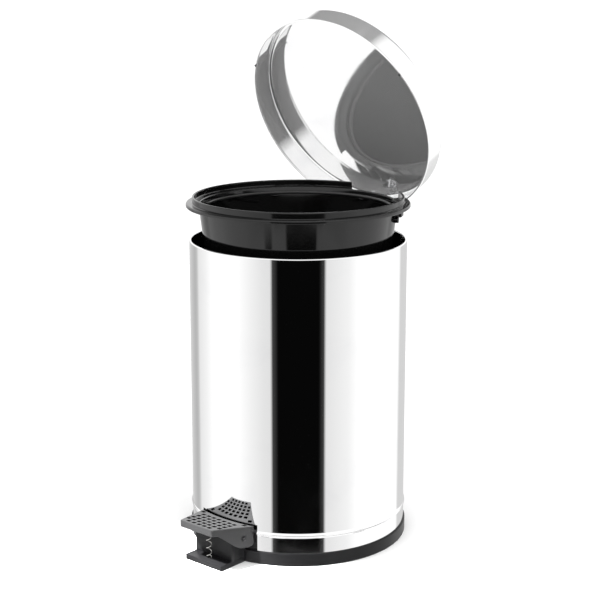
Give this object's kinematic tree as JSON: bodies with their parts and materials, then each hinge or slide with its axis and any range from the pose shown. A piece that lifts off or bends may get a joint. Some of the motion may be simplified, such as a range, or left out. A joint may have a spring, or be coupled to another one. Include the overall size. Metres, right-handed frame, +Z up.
{
  "type": "pedal trash can",
  "caption": "Small round pedal bin: polished steel body and hinged lid, black plastic base, foot pedal with push rod, and a lift-out inner bucket with a bail handle.",
  "frame": {"origin": "centre of the footprint (bounding box) on the floor", "axes": "+Z up, pedal towards -Y, lid hinge towards +Y"},
  "size_m": [0.2106, 0.2634, 0.4971],
  "materials": {
    "polished_steel": "mirror polished",
    "stamped_steel": "zinc plated",
    "black_plastic": "fine textured",
    "gloss_black": "smooth glossy",
    "rubber": "matte"
  },
  "bodies": {
    "can": {"body_shell": "polished_steel", "base": "black_plastic", "base_screw_1": "stamped_steel", "base_screw_2": "stamped_steel", "base_screw_3": "stamped_steel", "rubber_foot_1": "rubber", "rubber_foot_2": "rubber", "rubber_foot_3": "rubber", "rubber_foot_4": "rubber", "pedal_pin": "stamped_steel", "return_spring": "stamped_steel", "rod_guide_1": "black_plastic", "rod_guide_2": "black_plastic", "guide_rivet_1": "stamped_steel", "guide_rivet_2": "stamped_steel", "hinge_bracket": "stamped_steel", "bracket_rivet_1": "stamped_steel", "bracket_rivet_2": "stamped_steel", "hinge_pin": "stamped_steel"},
    "lid": {"lid": "polished_steel", "lid_leaf": "stamped_steel", "leaf_rivet_1": "stamped_steel", "leaf_rivet_2": "stamped_steel", "lid_buffer_1": "rubber", "lid_buffer_2": "rubber"},
    "pedal": {"pedal": "black_plastic", "pedal_lever": "stamped_steel", "lever_screw_1": "stamped_steel", "lever_screw_2": "stamped_steel"},
    "rod": {"push_rod": "stamped_steel"},
    "bucket": {"bucket": "gloss_black"},
    "bail": {"bail": "black_plastic"}
  },
  "joints": [
    {"name": "lid_hinge", "type": "hinge", "parent": "can", "child": "lid", "pos_m": [0, 0.1196, 0.2974], "axis": [-1, 0, 0], "range_deg": [-66, 0]},
    {"name": "pedal_pivot", "type": "hinge", "parent": "can", "child": "pedal", "pos_m": [0, -0.0998, 0.0266], "axis": [1, 0, 0], "range_deg": [-16.01, 0], "deforming": ["return_spring"]},
    {"name": "rod_lift", "type": "slide", "parent": "can", "child": "rod", "axis": [0, 0, 1], "range_m": [-0.01456, 0]},
    {"name": "bucket_seat", "type": "slide", "parent": "can", "child": "bucket", "axis": [0, 0, 1], "range_m": [-0.03201, 0]},
    {"name": "bail_swing", "type": "hinge", "parent": "bucket", "child": "bail", "pos_m": [0, 0.0097, 0.3156], "axis": [0.8988, 0.4384, 0], "range_deg": [0, 180]}
  ],
  "couplings": [
    {"joint": "pedal_pivot", "follows": "lid_hinge", "ratio": 0.24242},
    {"joint": "rod_lift", "follows": "lid_hinge", "m_per_rad": 0.012628},
    {"joint": "bucket_seat", "follows": "lid_hinge", "m_per_rad": 0.02778}
  ]
}
